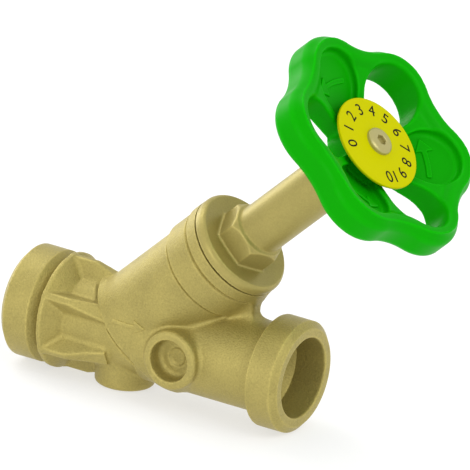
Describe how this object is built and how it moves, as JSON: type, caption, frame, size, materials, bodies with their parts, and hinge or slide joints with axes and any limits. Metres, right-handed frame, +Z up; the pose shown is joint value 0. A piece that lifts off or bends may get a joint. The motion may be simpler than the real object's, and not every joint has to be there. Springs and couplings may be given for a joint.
{
  "type": "y-pattern globe valve",
  "caption": "Y-pattern globe valve with male threaded ends, inclined neck, long sleeve, lobed green handwheel and round indicator disc.",
  "frame": {"origin": "centre of the inlet's end face, on the pipe axis", "axes": "+X along the pipe in the direction of flow, +Z up, so the stem leans 45 degrees from +Z towards the outlet; -Y towards the side port"},
  "size_m": [0.1368, 0.0646, 0.1195],
  "materials": {
    "cast_brass": "matte",
    "headwork_brass": "satin",
    "screw_brass": "satin",
    "wheel_green": "gloss",
    "disc_yellow": "satin",
    "disc_print": "matte",
    "seal_rubber": "matte",
    "bearing_plastic": "matte",
    "spindle_steel": "satin"
  },
  "bodies": {
    "valve": {"valve_body": "cast_brass", "bonnet": "headwork_brass", "bonnet_o_ring": "seal_rubber", "top_thrust_washer": "bearing_plastic", "bottom_thrust_washer": "bearing_plastic", "collar_circlip": "spindle_steel", "guide_bush": "bearing_plastic", "wiper_ring": "seal_rubber"},
    "wheel_and_spindle": {"spindle": "spindle_steel", "spindle_o_rings": "seal_rubber", "handwheel": "wheel_green", "indicator_disc": "disc_yellow", "wheel_screw": "screw_brass", "wheel_washer": "spindle_steel"},
    "plunger": {"disc_carrier": "headwork_brass", "carrier_o_ring": "seal_rubber", "carrier_back_ring": "bearing_plastic", "seat_washer": "seal_rubber", "washer_plate": "spindle_steel", "washer_screw": "spindle_steel"}
  },
  "joints": [
    {"name": "handwheel_turn", "type": "hinge", "parent": "valve", "child": "wheel_and_spindle", "pos_m": [0.0344, 0, 0], "axis": [0.7071, 0, 0.7071], "range_deg": [0, 1440]},
    {"name": "plunger_lift", "type": "slide", "parent": "valve", "child": "plunger", "axis": [0.7071, 0, 0.7071], "range_m": [0, 0.008]}
  ],
  "couplings": [
    {"joint": "plunger_lift", "follows": "handwheel_turn", "m_per_rad": 0.0003183}
  ]
}
